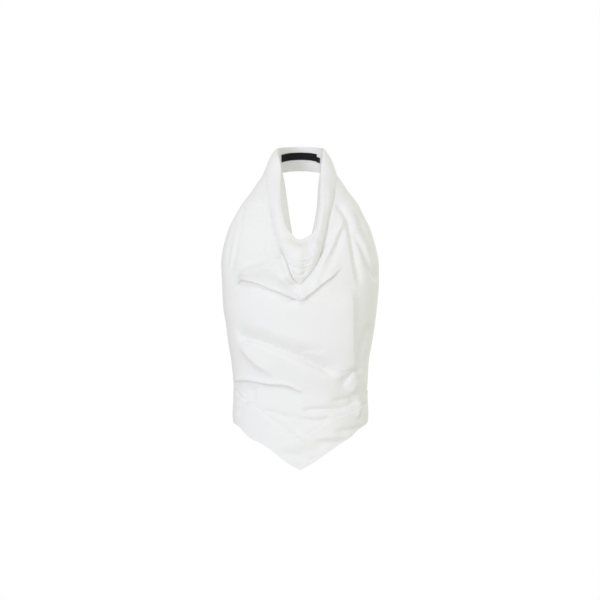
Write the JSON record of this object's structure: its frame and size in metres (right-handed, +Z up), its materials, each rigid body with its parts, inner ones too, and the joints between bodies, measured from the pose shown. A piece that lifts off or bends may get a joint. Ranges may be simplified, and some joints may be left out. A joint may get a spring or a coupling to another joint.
{
  "type": "cowl neck top",
  "caption": "White cotton halter top in worn hollow form, with a folded cowl collar, pulled drapes across the front, an open upper back and a pointed, banded hem.",
  "frame": {"origin": "middle of the inner face of the nape band, where the back of the neck holds the top", "axes": "+Z up, front of the top towards -Y, +X towards the wearer's left, which is the viewer's right"},
  "size_m": [0.3018, 0.2299, 0.6171],
  "materials": {
    "poplin": "crisp white cotton poplin, matt, fine plain weave",
    "tape": "bare black woven tape with a slight sheen"
  },
  "bodies": {
    "root": {"cowl_collar": "poplin", "front_panel": "poplin", "back_panel": "poplin", "hem_band_left": "poplin", "hem_band_right": "poplin", "hem_band_back": "poplin", "neck_label": "tape", "size_tab": "tape"}
  },
  "joints": []
}
